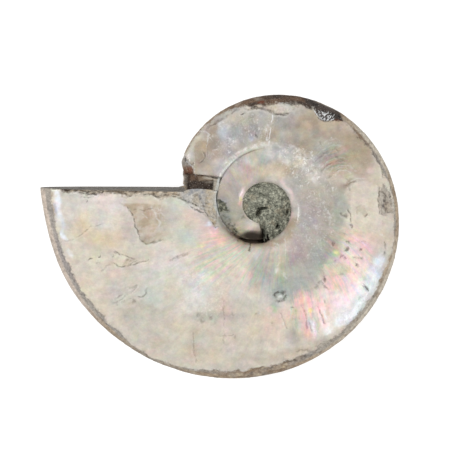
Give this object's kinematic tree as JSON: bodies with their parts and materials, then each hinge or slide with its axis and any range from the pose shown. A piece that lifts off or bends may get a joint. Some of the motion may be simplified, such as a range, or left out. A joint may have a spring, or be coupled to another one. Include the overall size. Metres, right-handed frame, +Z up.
{
  "type": "fossil ammonite",
  "caption": "Polished fossil ammonite lying on its side: a flattened spiral shell with a small umbilicus and a sawn mouth, both filled with sandy rock.",
  "frame": {"origin": "centre of the bounding box, on the plane that the fossil rests on", "axes": "+Z up from the resting plane, the coil lies in the XY plane leaning about 5 degrees, +X across its longest width from the mouth, +Y out of the sawn mouth"},
  "size_m": [0.0804, 0.0638, 0.0206],
  "materials": {
    "nacre": "polished mother-of-pearl over stone, cream to grey with pink, green and gold play of colour",
    "umbilical_rock": "rough green-grey sandstone",
    "mouth_rock": "sawn grey stone"
  },
  "bodies": {
    "root": {"ammonite_shell": "nacre", "mouth_matrix": "mouth_rock", "umbilical_matrix_upper": "umbilical_rock", "umbilical_matrix_lower": "umbilical_rock"}
  },
  "joints": []
}
